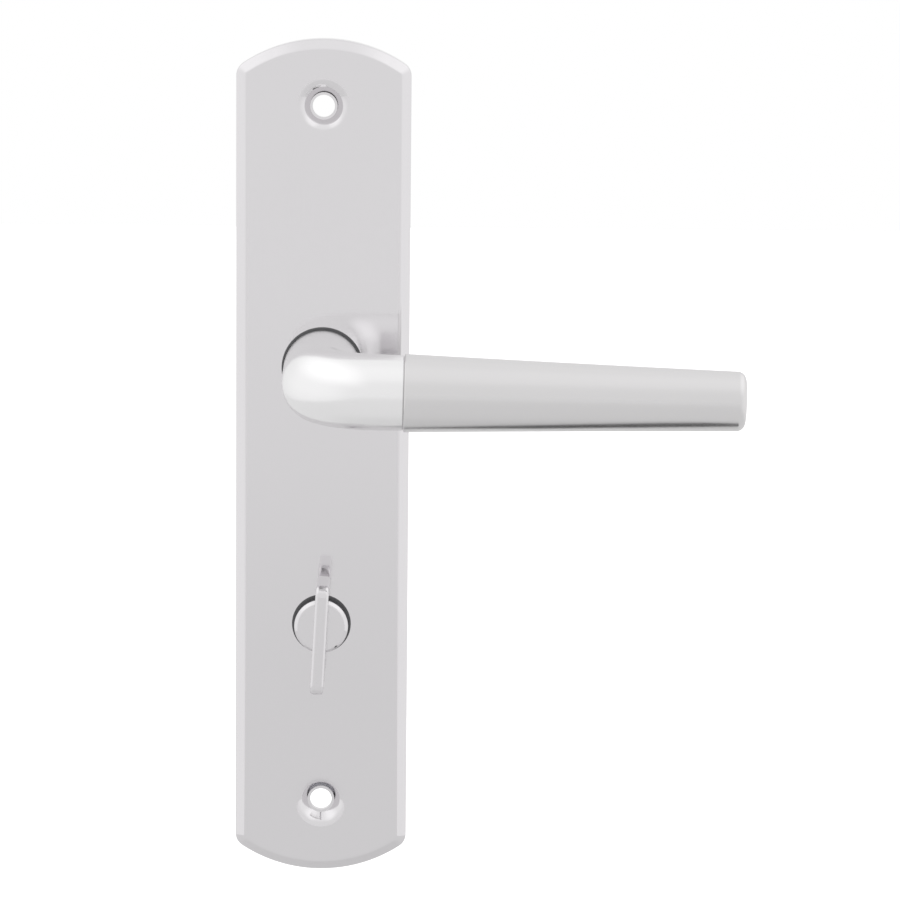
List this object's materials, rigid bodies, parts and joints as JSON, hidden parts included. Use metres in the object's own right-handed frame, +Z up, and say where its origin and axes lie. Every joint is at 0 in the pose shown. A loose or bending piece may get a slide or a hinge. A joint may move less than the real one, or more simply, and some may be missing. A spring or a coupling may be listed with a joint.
{
  "type": "bathroom door handle with thumb-turn",
  "caption": "Inside half of a bathroom door handle on a long arched backplate: sprung round lever with a polished elbow above, round thumb-turn with a thin wing below.",
  "frame": {"origin": "where the lever's axis meets the door face", "axes": "+Z up the backplate, +X along the lever from its neck to its tip, -Y out of the door towards the hand"},
  "size_m": [0.1371, 0.1194, 0.2335],
  "materials": {
    "satin_metal": "satin nickel",
    "polished_metal": "polished",
    "bush_plastic": "matt moulded",
    "plated_steel": "zinc plated",
    "plain_steel": "drawn bar",
    "spring_steel": "tempered",
    "black_steel": "black oxide"
  },
  "bodies": {
    "base": {"backplate": "satin_metal", "support_plate": "plated_steel", "lever_bush": "bush_plastic", "turn_bush": "bush_plastic", "spring_cup": "plated_steel", "cup_rivets": "plated_steel", "return_spring": "spring_steel", "detent_spring": "spring_steel"},
    "lever": {"lever_neck": "polished_metal", "lever_grip": "satin_metal", "grip_stud": "plain_steel", "lever_spindle": "plain_steel", "set_screw": "black_steel", "spring_driver": "plated_steel", "stop_washer": "plated_steel", "lever_ring": "spring_steel"},
    "turn": {"turn_knob": "satin_metal", "turn_cam": "plated_steel", "turn_spindle": "plain_steel", "turn_pin": "plain_steel", "turn_washer": "plated_steel", "turn_ring": "spring_steel"}
  },
  "joints": [
    {"name": "lever_turn", "type": "hinge", "parent": "base", "child": "lever", "pos_m": [0, 0, 0], "axis": [0, 1, 0], "range_deg": [0, 45], "stiffness_Nm_per_rad": 0.8, "springref_deg": -45.84, "deforming": ["return_spring"]},
    {"name": "thumb_turn", "type": "hinge", "parent": "base", "child": "turn", "pos_m": [0, 0, -0.072], "axis": [0, 1, 0], "range_deg": [0, 90], "deforming": ["detent_spring"]}
  ]
}
